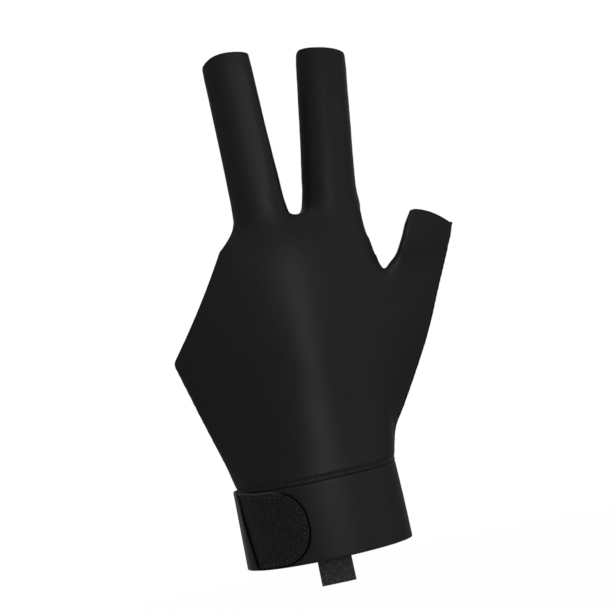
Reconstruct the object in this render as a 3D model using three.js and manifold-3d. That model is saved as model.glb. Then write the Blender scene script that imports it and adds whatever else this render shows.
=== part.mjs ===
// A three-finger billiard glove for the left hand, filled out as a hand fills it.
// Millimetres. +Z runs from the wrist opening to the fingertips, +X points to the thumb's side and -Y out
// of the back of the hand. The origin is the centre of the wrist opening.

import * as THREE from "three";
import { mergeVertices } from "three/addons/utils/BufferGeometryUtils.js";
import Module from "manifold-3d";

const wasm = await Module();
wasm.setup();

// Fabric walls, and the gap that is kept between two sewn pieces
const panelWall = 1.2;
const cuffWall = 1.6;
const strapWall = 1.1;
const patchWall = 1.2;
const pullTabWall = 1.4;
const seamGap = 0.3;

// Cuff: an elliptical band that flares a little to its open end
const cuffWidth = 66;
const cuffDepth = 42;
const cuffHeight = 31.5;
const cuffFlare = 1.2;
const slitWidth = 8;

// Strap: from its root on the palm side, round the little finger's side, to its rounded end on the back.
// Reaches are measured round the cuff from its little finger's side.
const strapInset = 0.4;
const strapRootReach = 33;
const strapReach = 37.6;
const strapPuff = 0.2;

// Patch on the strap's rounded end, with a slanting straight side
const patchMargin = 0.5;
const patchStartHigh = 9.8;
const patchStartLow = 11.8;
const tabRoundLength = 15.5;
const tabSquareness = 2.25;

// Pull tab, sewn inside the cuff at the back of the hand
const pullTabWidth = 13.8;
const pullTabHang = 10.1;
const pullTabRoot = 9;
const pullTabOffset = 0.6;

// Palm: measured from the cuff's upper edge to the fingers' roots
const palmLength = 106.3;
const palmDepth = 31;
const bendStartShare = 0.15;
const ulnarReach = 47.5;
const radialReach = 44;

// Ridge of the knuckles: a straight line up the back of the hand, from which the back falls to both sides
const ridgeX = 5.5;
const ridgeRound = 10;

// The thumb and its web: how full their sections are and how far across them their ridge lies
const sideFull = 0.4;
const sideRidge = 0.2;

// Finger sleeves: centre lines seen from the back, the bend and drop towards the palm, and the open ends.
// A sleeve's turn is how far its back faces to one side.
const fingerDepth = 17.6;
const middleWidth = 20;
const middleLength = 67.3;
const middleRoot = 0.1;
const middleTip = -1.2;
const middleBend = 3.5;
const middleTurn = -0.2;
const middleCutSlope = 5.5;
const middleCutLean = 21;
const indexWidth = 20.8;
const indexLength = 64.3;
const indexRoot = 28.7;
const indexTip = 37.9;
const indexBend = 13;
const indexDrop = 3;
const indexTurn = 0.05;
const indexCutSlope = -9.5;
const indexCutLean = 17;

// Thumb sleeve: the reach of its outer side, its length from the cuff's upper edge and its open end
const thumbReach = 76.9;
const thumbLength = 94.6;
const thumbDepth = 17.4;
const thumbDrop = 9;
const thumbTurn = 0.45;
const thumbTipShare = 0.9;
const thumbCutSlope = -30.5;
const thumbCutLean = 10;

// Opening for the ring and little fingers, cut from the ulnar corner up to the middle finger's root
const windowCornerRise = 55.9;
const windowCornerRadius = 2.8;
const windowBow = 1.6;
const windowBend = { across: 0.775, up: 0.8 };
const windowFillet = 4;

// Fineness of the faceted surfaces
const handSides = 42;
const fingerSides = 24;
const rowStep = 9;
const bandStep = 3.6;

const palmBottom = cuffHeight + seamGap;
const palmTop = palmBottom + palmLength;
const thumbTop = palmBottom + thumbLength;
const thumbTipCentre = thumbTipShare * thumbReach;

// A smooth step from 0 to 1 as t goes from 0 to 1
function smooth(t) {
  const s = THREE.MathUtils.clamp(t, 0, 1);
  return s * s * (3 - 2 * s);
}

// How far a finger's middle surface has bent towards the palm at height z
function fingerBow(z, { length, bend }) {
  const bendStart = palmTop - bendStartShare * palmLength;
  return bend * Math.max(0, (z - bendStart) / (palmTop + length - bendStart)) ** 2;
}

// Turns a table of sections into rows at most `step` apart, on smooth curves through the table's rows
function fillRows(table, step) {
  const columns = Object.keys(table[0]);
  const curve = new THREE.CubicInterpolant(
    Float32Array.from(table, (row) => row.z),
    Float32Array.from(table.flatMap((row) => columns.map((column) => row[column]))),
    columns.length,
    new Float32Array(columns.length),
  );
  return table.flatMap((row, i) => {
    if (i === table.length - 1) return [{ ...row }];
    const count = Math.ceil((table[i + 1].z - row.z) / step);
    return Array.from({ length: count }, (_, k) => {
      const values = curve.evaluate(row.z + ((table[i + 1].z - row.z) * k) / count);
      return Object.fromEntries(columns.map((column, c) => [column, values[c]]));
    });
  });
}

// A section's height over its middle surface on the back of the hand, 1 on its ridge and 0 at its sides: a
// mix of a dome, which is full at the sides, and a roof with a rounded ridge
function backHeight(share, reach, { square, full }) {
  const roundShare = Math.min(ridgeRound / reach, 0.5);
  const roof = 1 - (Math.hypot(share, roundShare) - roundShare) / (Math.hypot(1, roundShare) - roundShare);
  const dome = (1 - share ** square) ** (1 / square);
  return full * dome + (1 - full) * roof;
}

// One level section as a ring of points: a superellipse on the palm side, a ridged form on the back, and
// both turned about the section's centre
function sectionRing(row, sides, inset) {
  const centre = (row.left + row.right) / 2;
  const halfWidth = (row.right - row.left) / 2 - inset.across;
  const palmHeight = row.deep / 2 - inset.deep;
  const backTop = (row.back * row.deep) / 2 - inset.deep;
  const power = 2 / row.square;
  return Array.from({ length: sides }, (_, i) => {
    const angle = (2 * Math.PI * i) / sides;
    const cos = Math.cos(angle);
    const sin = Math.sin(angle);
    const across = halfWidth * Math.sign(cos) * Math.abs(cos) ** power;
    const fromRidge = centre + across - row.ridge;
    const reach = fromRidge > 0 ? centre + halfWidth - row.ridge : row.ridge - centre + halfWidth;
    const share = Math.min(Math.abs(fromRidge) / reach, 1);
    const deep = sin < 0 ? -backTop * backHeight(share, reach, row) : palmHeight * sin ** power;
    return new THREE.Vector3(centre + across, row.bow + deep + row.turn * across, row.z);
  });
}

// A closed surface through rings of equally many points, with flat fans on both ends
function loft(rings) {
  const sides = rings[0].length;
  const points = rings.flat();
  const faces = [];
  for (let r = 0; r + 1 < rings.length; r++) {
    for (let i = 0; i < sides; i++) {
      const a = r * sides + i;
      const b = r * sides + ((i + 1) % sides);
      faces.push(a, b, b + sides, a, b + sides, a + sides);
    }
  }
  for (const end of [0, rings.length - 1]) {
    const centre = points.length;
    const sum = new THREE.Vector3();
    rings[end].forEach((point) => sum.add(point));
    points.push(sum.divideScalar(sides));
    for (let i = 0; i < sides; i++) {
      const a = end * sides + i;
      const b = end * sides + ((i + 1) % sides);
      faces.push(...(end === 0 ? [centre, b, a] : [centre, a, b]));
    }
  }
  const geometry = new THREE.BufferGeometry().setFromPoints(points);
  geometry.setIndex(faces);
  return geometry;
}

// A geometry as a solid that can be joined and cut
function solidOf(geometry) {
  const bare = geometry.clone();
  bare.deleteAttribute("normal");
  bare.deleteAttribute("uv");
  const merged = mergeVertices(bare, 1e-4);
  const mesh = new wasm.Mesh({
    numProp: 3,
    vertProperties: Float32Array.from(merged.attributes.position.array),
    triVerts: Uint32Array.from(merged.index.array),
  });
  const solid = new wasm.Manifold(mesh);
  if (solid.volume() > 0) return solid;
  for (let i = 0; i < mesh.triVerts.length; i += 3) {
    [mesh.triVerts[i], mesh.triVerts[i + 1]] = [mesh.triVerts[i + 1], mesh.triVerts[i]];
  }
  return new wasm.Manifold(mesh);
}

// A solid back as a geometry
function geometryOf(solid) {
  const mesh = solid.getMesh();
  const geometry = new THREE.BufferGeometry();
  geometry.setAttribute("position", new THREE.BufferAttribute(mesh.vertProperties, 3));
  geometry.setIndex(new THREE.BufferAttribute(mesh.triVerts, 1));
  geometry.computeVertexNormals();
  return geometry;
}

// Cuff: its outline at height z, starting at the little finger's side and running across the back first

function cuffCurve(z) {
  const widening = cuffFlare * (1 - z / cuffHeight);
  const halfWidth = (cuffWidth + widening) / 2;
  const halfDepth = (cuffDepth + widening) / 2;
  return new THREE.EllipseCurve(0, 0, halfWidth, halfDepth, Math.PI, 3 * Math.PI);
}

const cuffPerimeter = cuffCurve(cuffHeight / 2).getLength();

// The point at `along` millimetres round the cuff and height z, pushed `out` from the cuff's outside
function cuffPoint(along, z, out) {
  const curve = cuffCurve(z);
  const share = THREE.MathUtils.euclideanModulo(along / cuffPerimeter, 1);
  const point = curve.getPointAt(share);
  const tangent = curve.getTangentAt(share);
  return new THREE.Vector3(point.x + out * tangent.y, point.y - out * tangent.x, z);
}

// A band that follows the cuff: each column has a lower and an upper end and stands off the cuff by `out`
function band(columns, wall) {
  return loft(
    columns.map(({ low, high, out }) => [
      cuffPoint(low.along, low.z, out),
      cuffPoint(high.along, high.z, out),
      cuffPoint(high.along, high.z, out + wall),
      cuffPoint(low.along, low.z, out + wall),
    ]),
  );
}

// Upright columns from one place round the cuff to another, at most bandStep apart
function uprightColumns(from, to, bottom, top, outAt) {
  const count = Math.max(1, Math.ceil((to - from) / bandStep));
  return Array.from({ length: count + 1 }, (_, i) => {
    const along = from + ((to - from) * i) / count;
    return { low: { along, z: bottom }, high: { along, z: top }, out: outAt(along) };
  });
}

// The columns of a strap's rounded end: a superellipse of the given length about the middle height
function roundedColumns(end, length, bottom, top, outAt) {
  const middle = (bottom + top) / 2;
  const power = 2 / tabSquareness;
  const steps = 9;
  const lastAngle = 1.5;
  return Array.from({ length: steps }, (_, i) => {
    const angle = (lastAngle * (i + 1)) / steps;
    const along = end - length + length * Math.sin(angle) ** power;
    const half = ((top - bottom) / 2) * Math.cos(angle) ** power;
    return {
      low: { along, z: middle - half },
      high: { along, z: middle + half },
      out: outAt(along),
    };
  });
}

function cuff() {
  const from = slitWidth / 2;
  const to = cuffPerimeter - slitWidth / 2;
  return band(uprightColumns(from, to, 0, cuffHeight, () => -cuffWall), cuffWall);
}

// The strap lifts off the cuff a little just before the patch
function strapOut(along) {
  const from = -slitWidth;
  const share = (along - from) / (patchStartHigh - from);
  return seamGap + strapPuff * Math.sin(Math.PI * THREE.MathUtils.clamp(share, 0, 1)) ** 2;
}

function strap() {
  const bottom = strapInset;
  const top = cuffHeight - strapInset;
  return band(
    [
      ...uprightColumns(-strapRootReach, strapReach - tabRoundLength, bottom, top, strapOut),
      ...roundedColumns(strapReach, tabRoundLength, bottom, top, strapOut),
    ],
    strapWall,
  );
}

function patch() {
  const bottom = strapInset + patchMargin;
  const top = cuffHeight - strapInset - patchMargin;
  const out = () => seamGap + strapWall + seamGap;
  const straightEnd = strapReach - tabRoundLength;
  const first = {
    low: { along: patchStartLow, z: bottom },
    high: { along: patchStartHigh, z: top },
    out: out(),
  };
  return band(
    [
      first,
      ...uprightColumns(patchStartLow + bandStep / 2, straightEnd, bottom, top, out),
      ...roundedColumns(strapReach - patchMargin, tabRoundLength - patchMargin, bottom, top, out),
    ],
    patchWall,
  );
}

function pullTab() {
  const middle = cuffPerimeter / 4 + pullTabOffset;
  const out = -cuffWall - seamGap - pullTabWall;
  return band(
    uprightColumns(
      middle - pullTabWidth / 2,
      middle + pullTabWidth / 2,
      -pullTabHang,
      pullTabRoot,
      () => out,
    ),
    pullTabWall,
  );
}

// Hand: level sections. Widths are shares of the reaches, depths of the palm's depth, and heights of the
// palm's length. Square and full shape a section. The first section is the cuff's upper edge.

const palmSections = [
  { up: 0.064, ulnar: 0.717, radial: 0.775, deep: 1.3, square: 2.05, full: 0.75 },
  { up: 0.17, ulnar: 0.782, radial: 0.812, deep: 1.15, square: 2.1, full: 0.4 },
  { up: 0.31, ulnar: 0.868, radial: 0.87, deep: 1.08, square: 2.2, full: 0.22 },
  { up: 0.46, ulnar: 0.961, radial: 0.93, deep: 1.04, square: 2.3, full: 0.2 },
  { up: 0.6, ulnar: 1.045, radial: 0.975, deep: 1, square: 2.4, full: 0.2 },
  { up: 0.73, ulnar: 1.08, radial: 1.002, deep: 0.96, square: 2.5, full: 0.2 },
  { up: 0.79, ulnar: 1.08, radial: 0.968, deep: 0.92, square: 2.5, full: 0.2 },
  { up: 0.85, ulnar: 1.08, radial: 0.94, deep: 0.87, square: 2.5, full: 0.2 },
  { up: 0.92, ulnar: 1.05, radial: 0.923, deep: 0.76, square: 2.4, full: 0.2 },
  { up: 0.97, ulnar: 1.05, radial: 0.92, deep: 0.6, square: 2.2, full: 0.2 },
  { up: 1, ulnar: 1.05, radial: 0.918, deep: 0.38, square: 2, full: 0.2 },
];

// The two finger sleeves. Square and full shape their sections, and back is a share of their depth.
const middleFinger = {
  root: middleRoot,
  tip: middleTip,
  length: middleLength,
  width: middleWidth,
  bend: middleBend,
  drop: 0,
  form: { square: 3, full: 1, back: 0.85, turn: middleTurn },
  cut: { slope: middleCutSlope, lean: middleCutLean },
};
const indexFinger = {
  root: indexRoot,
  tip: indexTip,
  length: indexLength,
  width: indexWidth,
  bend: indexBend,
  drop: indexDrop,
  form: { square: 2.2, full: 0.8, back: 0.85, turn: indexTurn },
  cut: { slope: indexCutSlope, lean: indexCutLean },
};

function palmRows() {
  const wrist = {
    z: palmBottom,
    left: -cuffWidth / 2,
    right: cuffWidth / 2,
    deep: cuffDepth,
    square: 2,
    bow: 0,
    ridge: 0,
    full: 1,
    back: 1,
    turn: 0,
  };
  const above = palmSections.map((section) => ({
    z: palmBottom + section.up * palmLength,
    left: -section.ulnar * ulnarReach,
    right: section.radial * radialReach,
    deep: section.deep * palmDepth,
    square: section.square,
    bow: fingerBow(palmBottom + section.up * palmLength, middleFinger),
    ridge: ridgeX * (1 - section.full ** 2),
    full: section.full,
    back: 1,
    turn: 0,
  }));
  return [wrist, ...above];
}

// A section of the web or the thumb. Its sides are shares of the thumb's reach, its bow a share of the
// thumb's drop, its back a share of its depth and its turn a share of the thumb's turn.
function sideRow(z, section, depth) {
  const left = section.inner * thumbReach;
  const right = section.outer * thumbReach;
  return {
    z,
    left,
    right,
    deep: section.deep * depth,
    square: 2,
    bow: section.bow * thumbDrop,
    ridge: left + sideRidge * (right - left),
    full: sideFull,
    back: section.back,
    turn: section.turn * thumbTurn,
  };
}

// Web of the thumb: a fill between the palm and the thumb that thins out up to the notch. Its heights are
// shares of the palm's length and its depths of the palm's depth.
const webSections = [
  { up: 0.15, inner: -0.1, outer: 0.47, deep: 1.1, bow: 0.05, back: 0.7, turn: 0.45 },
  { up: 0.3, inner: 0.06, outer: 0.57, deep: 0.98, bow: 0.18, back: 0.6, turn: 0.9 },
  { up: 0.43, inner: 0.22, outer: 0.66, deep: 0.8, bow: 0.3, back: 0.55, turn: 1 },
  { up: 0.56, inner: 0.35, outer: 0.745, deep: 0.6, bow: 0.42, back: 0.55, turn: 1 },
  { up: 0.66, inner: 0.43, outer: 0.785, deep: 0.44, bow: 0.5, back: 0.6, turn: 1 },
  { up: 0.722, inner: 0.48, outer: 0.77, deep: 0.3, bow: 0.52, back: 0.8, turn: 1 },
];

function webRows() {
  return webSections.map((section) => sideRow(palmBottom + section.up * palmLength, section, palmDepth));
}

// Thumb: its heights are shares of the way from the cuff to its tip and its depths of the thumb's depth
const thumbSections = [
  { up: 0.07, inner: 0.04, outer: 0.452, deep: 2.1, bow: 0.02, back: 0.75, turn: 0.2 },
  { up: 0.14, inner: 0.11, outer: 0.478, deep: 2.02, bow: 0.08, back: 0.65, turn: 0.55 },
  { up: 0.223, inner: 0.2, outer: 0.54, deep: 1.9, bow: 0.18, back: 0.54, turn: 0.85 },
  { up: 0.308, inner: 0.28, outer: 0.604, deep: 1.78, bow: 0.3, back: 0.46, turn: 0.95 },
  { up: 0.393, inner: 0.35, outer: 0.667, deep: 1.66, bow: 0.42, back: 0.42, turn: 1 },
  { up: 0.478, inner: 0.42, outer: 0.728, deep: 1.54, bow: 0.53, back: 0.41, turn: 1 },
  { up: 0.563, inner: 0.485, outer: 0.784, deep: 1.42, bow: 0.63, back: 0.41, turn: 1 },
  { up: 0.69, inner: 0.55, outer: 0.856, deep: 1.26, bow: 0.75, back: 0.44, turn: 1 },
  { up: 0.775, inner: 0.575, outer: 0.906, deep: 1.17, bow: 0.82, back: 0.49, turn: 1 },
  { up: 0.82, inner: 0.592, outer: 0.931, deep: 1.12, bow: 0.86, back: 0.53, turn: 1 },
  { up: 0.845, inner: 0.634, outer: 0.944, deep: 1.09, bow: 0.88, back: 0.55, turn: 1 },
  { up: 0.862, inner: 0.66, outer: 0.953, deep: 1.07, bow: 0.9, back: 0.57, turn: 1 },
  { up: 0.903, inner: 0.695, outer: 0.977, deep: 1.04, bow: 0.93, back: 0.59, turn: 1 },
  { up: 0.946, inner: 0.724, outer: 0.999, deep: 1.01, bow: 0.96, back: 0.6, turn: 1 },
  { up: 0.99, inner: 0.75, outer: 1.022, deep: 1, bow: 1, back: 0.6, turn: 1 },
  { up: 1.03, inner: 0.781, outer: 1.044, deep: 1, bow: 1.03, back: 0.6, turn: 1 },
  { up: 1.1, inner: 0.83, outer: 1.085, deep: 1, bow: 1.08, back: 0.6, turn: 1 },
];

// The thumb starts inside the palm at the cuff's upper edge, in shares of the cuff's width and depth
const thumbBase = { deep: 0.9, ridge: 0.25, back: 0.8 };

function thumbRows() {
  const base = {
    z: palmBottom,
    left: 0,
    right: cuffWidth / 2,
    deep: thumbBase.deep * cuffDepth,
    square: 2,
    bow: 0,
    ridge: thumbBase.ridge * cuffWidth,
    full: sideFull,
    back: thumbBase.back,
    turn: 0,
  };
  const above = thumbSections.map((section) =>
    sideRow(palmBottom + section.up * thumbLength, section, thumbDepth),
  );
  return [base, ...above];
}

// Finger sleeves: along is a share of the sleeve's length above its root, wide and deep are shares of its
// width and depth at the open end
const fingerSections = [
  { along: -0.5, wide: 0.72, deep: 0.8 },
  { along: -0.3, wide: 0.93, deep: 0.98 },
  { along: -0.13, wide: 1.08, deep: 1.13 },
  { along: 0, wide: 1.19, deep: 1.2 },
  { along: 0.03, wide: 1.145, deep: 1.19 },
  { along: 0.09, wide: 1.095, deep: 1.17 },
  { along: 0.25, wide: 1.055, deep: 1.12 },
  { along: 0.5, wide: 1.027, deep: 1.06 },
  { along: 0.78, wide: 1.003, deep: 1.02 },
  { along: 1, wide: 1, deep: 1 },
  { along: 1.15, wide: 1, deep: 1 },
];

function fingerRows(finger) {
  return fingerSections.map((section) => {
    const z = palmTop + section.along * finger.length;
    const centre = finger.root + (finger.tip - finger.root) * section.along;
    return {
      z,
      left: centre - (finger.width * section.wide) / 2,
      right: centre + (finger.width * section.wide) / 2,
      deep: fingerDepth * section.deep,
      bow: fingerBow(z, finger) + finger.drop,
      ridge: centre,
      ...finger.form,
    };
  });
}

// The outer solid of a limb, or with an inset its hollow, which runs on past the limb's ends
function limb(rows, sides, wall) {
  const filled = fillRows(rows, rowStep);
  if (wall) {
    filled[0] = { ...filled[0], z: filled[0].z - wall };
  }
  const rise = rows.at(-1).z - rows[0].z;
  const shift = (rows.at(-1).left + rows.at(-1).right - rows[0].left - rows[0].right) / 2;
  const inset = { across: wall * Math.hypot(1, shift / rise), deep: wall };
  return solidOf(loft(filled.map((row) => sectionRing(row, sides, inset))));
}

// All the limbs joined. A hollow's palm and web stop one wall short of the outer ones' tops.
function handForm(wall) {
  const lowered = (rows) => {
    const last = rows.at(-1);
    return [...rows.slice(0, -1), { ...last, z: last.z - wall }];
  };
  const limbs = [
    limb(lowered(palmRows()), handSides, wall),
    limb(lowered(webRows()), handSides, wall),
    limb(thumbRows(), fingerSides, wall),
    limb(fingerRows(middleFinger), fingerSides, wall),
    limb(fingerRows(indexFinger), fingerSides, wall),
  ];
  return limbs.reduce((whole, piece) => whole.add(piece));
}

// Everything beyond a sleeve's open end. The end's plane slopes across the sleeve's turned middle surface
// and leans to the palm.
const endCutShare = 1.8;

function endCut(centre, width, turn, { slope, lean }) {
  const size = endCutShare * width;
  const across = new THREE.Vector3(1, turn, Math.tan(THREE.MathUtils.degToRad(slope)));
  const deep = new THREE.Vector3(0, 1, -Math.tan(THREE.MathUtils.degToRad(lean)));
  const up = new THREE.Vector3().crossVectors(across, deep).normalize();
  const geometry = new THREE.BoxGeometry(size, 2 * size, size);
  geometry.translate(0, 0, size / 2);
  geometry.applyQuaternion(new THREE.Quaternion().setFromUnitVectors(new THREE.Vector3(0, 0, 1), up));
  geometry.translate(centre.x, centre.y, centre.z);
  return solidOf(geometry);
}

function fingerEndCut(finger) {
  const z = palmTop + finger.length;
  const centre = new THREE.Vector3(finger.tip, fingerBow(z, finger) + finger.drop, z);
  return endCut(centre, finger.width, finger.form.turn, finger.cut);
}

function thumbEndCut() {
  const centre = new THREE.Vector3(thumbTipCentre, thumbDrop, thumbTop);
  return endCut(centre, thumbDepth, thumbTurn, { slope: thumbCutSlope, lean: thumbCutLean });
}

// The opening for the ring and little fingers, as a prism through both panels
function fingerWindow() {
  const far = 2 * ulnarReach;
  const rootSection = fingerSections.find((section) => section.along === 0);
  const corner = new THREE.Vector2(-ulnarReach, palmBottom + windowCornerRise);
  const rootX = middleRoot - (rootSection.wide * middleWidth) / 2 + seamGap / 2;
  const topZ = palmTop + 2 * seamGap;
  const across = rootX - corner.x;
  const rise = topZ - corner.y;
  const along = new THREE.Vector2(across, rise).normalize();
  const start = corner.clone().addScaledVector(along, windowCornerRadius);
  const bendX = corner.x + windowBend.across * across;
  const bendZ = corner.y + windowBend.up * rise;
  const bottomZ = corner.y - 2 * windowCornerRadius;
  const shape = new THREE.Shape();
  shape.moveTo(-far, bottomZ);
  shape.lineTo(corner.x - windowCornerRadius, bottomZ);
  shape.lineTo(corner.x + 0.2 * windowCornerRadius, corner.y - windowCornerRadius);
  shape.quadraticCurveTo(corner.x, corner.y, start.x, start.y);
  shape.quadraticCurveTo(
    (start.x + bendX) / 2 + windowBow * along.y,
    (start.y + bendZ) / 2 - windowBow * along.x,
    bendX,
    bendZ,
  );
  shape.quadraticCurveTo(rootX - windowFillet / 4, topZ - windowFillet, rootX, topZ);
  shape.lineTo(rootX - windowFillet / 2, topZ + windowFillet);
  shape.lineTo(-far, topZ + windowFillet);
  shape.closePath();
  const depth = 3 * palmDepth;
  const geometry = new THREE.ExtrudeGeometry(shape, { depth, bevelEnabled: false, curveSegments: 8 });
  geometry.translate(0, 0, -depth / 2);
  geometry.rotateX(Math.PI / 2);
  return solidOf(geometry);
}

// A value at height z on straight lines between rows of values
function valueAt(rows, height, key, z) {
  const above = rows.findIndex((row) => row[height] > z);
  if (above < 0) return rows.at(-1)[key];
  if (above === 0) return rows[0][key];
  const [low, high] = [rows[above - 1], rows[above]];
  return THREE.MathUtils.mapLinear(z, low[height], high[height], low[key], high[key]);
}

// The surface through a limb's side edges
function middleSurface(rows, x, z) {
  const centre = (valueAt(rows, "z", "left", z) + valueAt(rows, "z", "right", z)) / 2;
  return valueAt(rows, "z", "bow", z) + valueAt(rows, "z", "turn", z) * (x - centre);
}

const thumbTable = thumbRows();
const middleTable = fingerRows(middleFinger);
const indexTable = fingerRows(indexFinger);

// Where the surface of the side seams passes from the hand to the thumb: heights are shares of the
// thumb's length, starts and ends of its reach
const webShares = [
  { up: 0, start: 0.2, end: 0.42 },
  { up: 0.3, start: 0.38, end: 0.56 },
  { up: 0.6, start: 0.5, end: 0.64 },
  { up: 0.8, start: 0.53, end: 0.585 },
  { up: 1, start: 0.6, end: 0.7 },
];

// The side seams lie on one smooth surface between the back and the palm, which follows the middle surface
// of each limb. It passes from one finger to the other over a short width, and from the palm to the
// fingers below their roots.
const betweenFingers = 8;
const belowFingers = 24;

function seamSurface(x, z) {
  const up = (z - palmBottom) / thumbLength;
  const start = thumbReach * valueAt(webShares, "up", "start", up);
  const end = thumbReach * valueAt(webShares, "up", "end", up);
  const towardsThumb = z < thumbTop + thumbDepth ? smooth((x - start) / (end - start)) : 0;
  const between = (middleRoot + indexRoot) / 2;
  const towardsIndex = smooth((x - between) / betweenFingers + 0.5);
  const middle = middleSurface(middleTable, x, z);
  const index = middleSurface(indexTable, x, z);
  const fingers = THREE.MathUtils.lerp(middle, index, towardsIndex);
  const above = smooth((z - palmTop) / belowFingers + 1);
  const hand = THREE.MathUtils.lerp(fingerBow(z, middleFinger), fingers, above);
  return THREE.MathUtils.lerp(hand, middleSurface(thumbTable, x, z), towardsThumb);
}

// Everything on one side of the seam surface: side -1 is the back of the hand, 1 the palm
function seamSide(side) {
  const cells = { x: 42, z: 42 };
  const from = { x: -1.3 * ulnarReach, z: palmBottom - seamGap / 2 };
  const to = { x: 1.3 * thumbReach, z: palmTop + 1.2 * middleLength };
  const far = side * 3 * palmDepth;
  const rings = [];
  for (let i = 0; i <= cells.x; i++) {
    const x = THREE.MathUtils.lerp(from.x, to.x, i / cells.x);
    const ring = [];
    for (let k = 0; k <= cells.z; k++) {
      const z = THREE.MathUtils.lerp(from.z, to.z, k / cells.z);
      ring.push(new THREE.Vector3(x, seamSurface(x, z) + (side * seamGap) / 2, z));
    }
    ring.push(new THREE.Vector3(x, far, to.z), new THREE.Vector3(x, far, from.z));
    rings.push(ring);
  }
  return solidOf(loft(rings));
}

function handPanels() {
  const cuts = [fingerEndCut(middleFinger), fingerEndCut(indexFinger), thumbEndCut(), fingerWindow()];
  const hollow = handForm(0).subtract(handForm(panelWall));
  const shell = cuts.reduce((whole, cut) => whole.subtract(cut), hollow);
  return { back: shell.intersect(seamSide(-1)), palm: shell.intersect(seamSide(1)) };
}

// Materials and the finished group

function fabric(colour, roughness) {
  return new THREE.MeshStandardMaterial({ color: colour, roughness, metalness: 0 });
}

const stretchKnit = fabric(0x232323, 0.6);
const cuffKnit = fabric(0x242424, 0.6);
const elastic = fabric(0x2c2c2c, 0.5);
const suede = fabric(0x1d1d1d, 0.9);
const webbing = fabric(0x303030, 0.8);

const panels = handPanels();
const pieces = [
  ["back_panel", geometryOf(panels.back), stretchKnit],
  ["palm_panel", geometryOf(panels.palm), stretchKnit],
  ["cuff", cuff(), cuffKnit],
  ["closure_strap", strap(), elastic],
  ["tab_patch", patch(), suede],
  ["pull_tab", pullTab(), webbing],
];

const glove = new THREE.Group();
for (const [name, geometry, material] of pieces) {
  geometry.computeVertexNormals();
  const mesh = new THREE.Mesh(geometry, material);
  mesh.name = name;
  glove.add(mesh);
}

export default glove;
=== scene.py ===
"""A three-finger billiard glove for the left hand, in its worn form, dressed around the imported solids."""

import math

import bmesh
import bpy
import numpy as np
from mathutils import Matrix, Vector, noise
from mathutils.bvhtree import BVHTree


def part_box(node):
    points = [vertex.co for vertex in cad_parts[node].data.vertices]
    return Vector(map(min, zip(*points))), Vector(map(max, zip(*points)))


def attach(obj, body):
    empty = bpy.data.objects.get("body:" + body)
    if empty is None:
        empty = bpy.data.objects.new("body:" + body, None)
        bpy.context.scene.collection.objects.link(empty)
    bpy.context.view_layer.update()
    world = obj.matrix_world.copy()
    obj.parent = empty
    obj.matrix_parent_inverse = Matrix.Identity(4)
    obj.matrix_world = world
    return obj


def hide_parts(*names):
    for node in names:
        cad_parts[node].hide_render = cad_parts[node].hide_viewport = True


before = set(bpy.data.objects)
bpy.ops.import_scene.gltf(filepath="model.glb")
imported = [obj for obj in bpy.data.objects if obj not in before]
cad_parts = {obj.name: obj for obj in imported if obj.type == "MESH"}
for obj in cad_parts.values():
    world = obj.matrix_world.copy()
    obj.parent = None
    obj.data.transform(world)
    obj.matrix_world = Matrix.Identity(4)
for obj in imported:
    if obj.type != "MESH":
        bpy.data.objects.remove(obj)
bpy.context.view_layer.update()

# Lengths below are in millimetres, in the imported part's frame: +Z to the fingertips, +X to the thumb's
# side, -Y out of the back of the hand.
MM = 0.001


def node_box(node):
    low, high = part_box(node)
    return np.array(low) / MM, np.array(high) / MM


cuff_low, cuff_high = node_box("cuff")
strap_low, strap_high = node_box("closure_strap")
tab_low, tab_high = node_box("pull_tab")
back_low, _ = node_box("back_panel")

# Fabric walls
PANEL_WALL = 1.1
CUFF_WALL = 1.6
STRAP_WALL = 1.1
PATCH_WALL = 1.2
TAB_WALL = 1.3
GAP = 0.3

# Cuff
CUFF_FLARE = 1.2
CUFF_HEIGHT = cuff_high[2] - cuff_low[2]
CUFF_WIDTH = 2 * cuff_high[0] - CUFF_FLARE
CUFF_DEPTH = 2 * cuff_high[1] - CUFF_FLARE
CUFF_SLIT = 8
CUFF_EDGE_RADIUS = 0.35
CUFF_FULLNESS = 0.12
CUFF_WAVE = {"length": 14, "height": 0.1}

# Strap and its patch, measured round the cuff from the little finger's side
STRAP_ROOT_REACH = 33
STRAP_REACH = 37.6
STRAP_THINNING = 0.75
STRAP_FACE = GAP + STRAP_THINNING * STRAP_WALL
STRAP_EDGE_RADIUS = 0.4
STRAP_CLIMB = 1.7
STRAP_CLIMB_END = 24
ROLL_REACH = (12, 6.2)
ROLL_START = -9
ROLL_HEIGHT = 0.6
ROLL_EDGE = 0.7
# Painted light on the strap: painted shade past the lit edge of its roll, near black painted shade in the
# groove and under the patch, and a painted highlight along its upper rim.
PAINTED_ROLL_SHADE = {"start": (4.8, 6.6), "span": 1.6, "darkness": 0.7}
GROOVE_SHADE = 0.04
GROOVE_MARGIN = 1
UPPER_RIM_HIGHLIGHT = {"light": 0.9, "height": 0.9, "blur": 0.3, "lowest": 0.75, "rise": 4, "end": 30, "fade": 6}
STRAP_STEPS = (0.8, 0.2, 0.9)
ROUND_END_ANGLES = (0.06, 1.52)
ROUND_END_TRIM = 0.1
TAB_ROUND_LENGTH = 15.5
TAB_SQUARENESS = 2.25
PATCH_MARGIN = 0.5
PATCH_END_MARGIN = 1
PATCH_LOW_MARGIN = 0.9
PATCH_START_HIGH = 10
PATCH_START_LOW = 13.6
PATCH_CORNER = 1.1
PATCH_LEAN = 0.05
PATCH_STITCH_INSET = 1.35
PATCH_INSETS = [0, 0.06, 0.18, 0.36, 0.6, 0.9, 1.1, 1.25, 1.4, 1.6, 1.85, 2.2]
PATCH_MIDDLE_DEPTH = 11
PATCH_ROUNDING = 0.5
PATCH_RIM_SHARE = 0.25
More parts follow.
